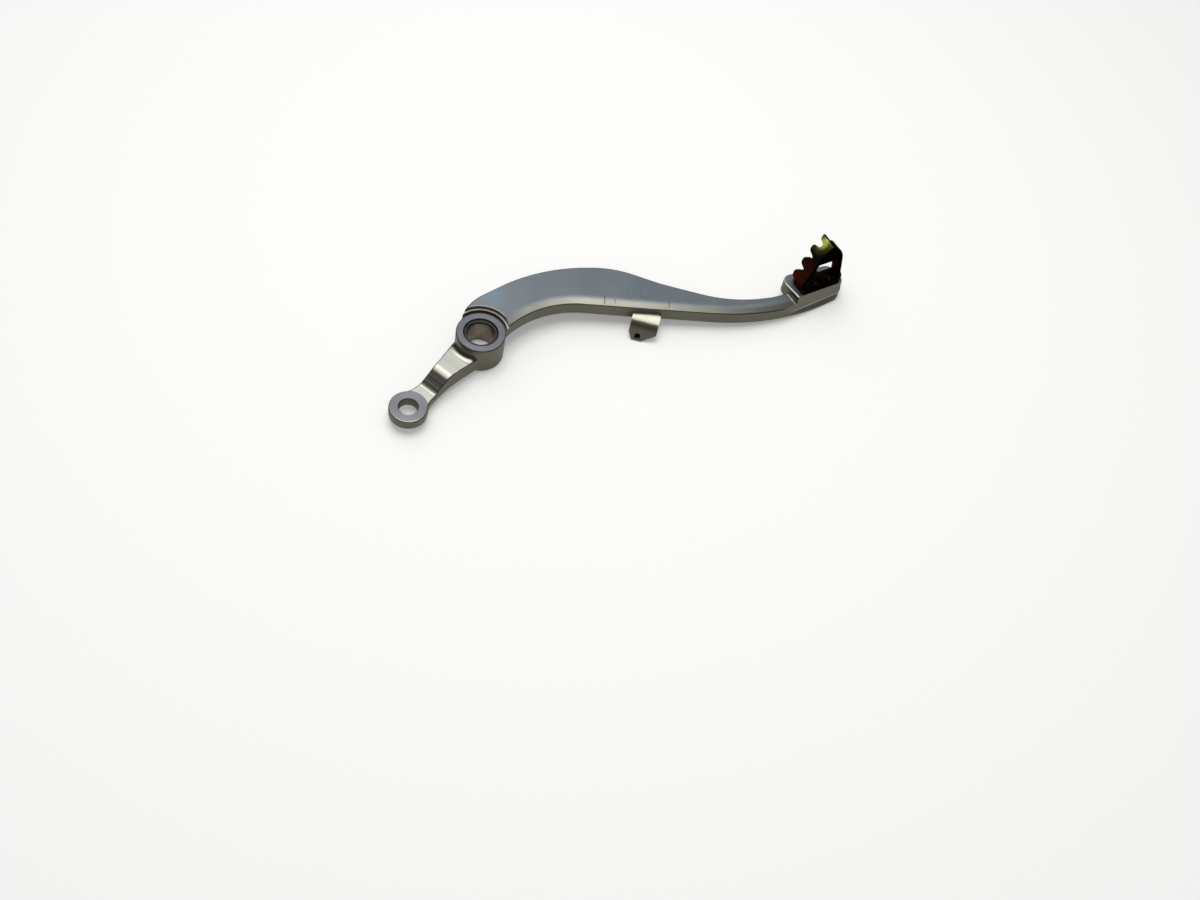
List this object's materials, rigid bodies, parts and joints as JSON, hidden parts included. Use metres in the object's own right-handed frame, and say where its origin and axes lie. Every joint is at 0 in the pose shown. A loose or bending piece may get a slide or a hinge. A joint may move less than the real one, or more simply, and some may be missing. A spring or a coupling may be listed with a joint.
{
  "type": "rear brake pedal",
  "caption": "Forged S-curved brake pedal arm with a bushed pivot boss, a joggled rear lever ending in an eye, and a riveted toothed steel step at its tip.",
  "frame": {"origin": "on the axis of the pivot bore, midway along the boss", "axes": "+Z along the pivot bore to the outboard side, +X forward along the arm to the step, +Y up as the pedal hangs on the motorbike"},
  "size_m": [0.2602, 0.095, 0.0549],
  "materials": {
    "forged_aluminium": "satin, tumbled forging",
    "plated_steel": "iridescent yellow plating",
    "rivet_steel": "satin plated",
    "bush_bronze": "machined",
    "seal_rubber": "matt"
  },
  "bodies": {
    "root": {"pedal_arm": "forged_aluminium", "step_plate": "plated_steel", "step_rivets": "rivet_steel", "pivot_bush": "bush_bronze", "outer_seal": "seal_rubber", "inner_seal": "seal_rubber"}
  },
  "joints": []
}
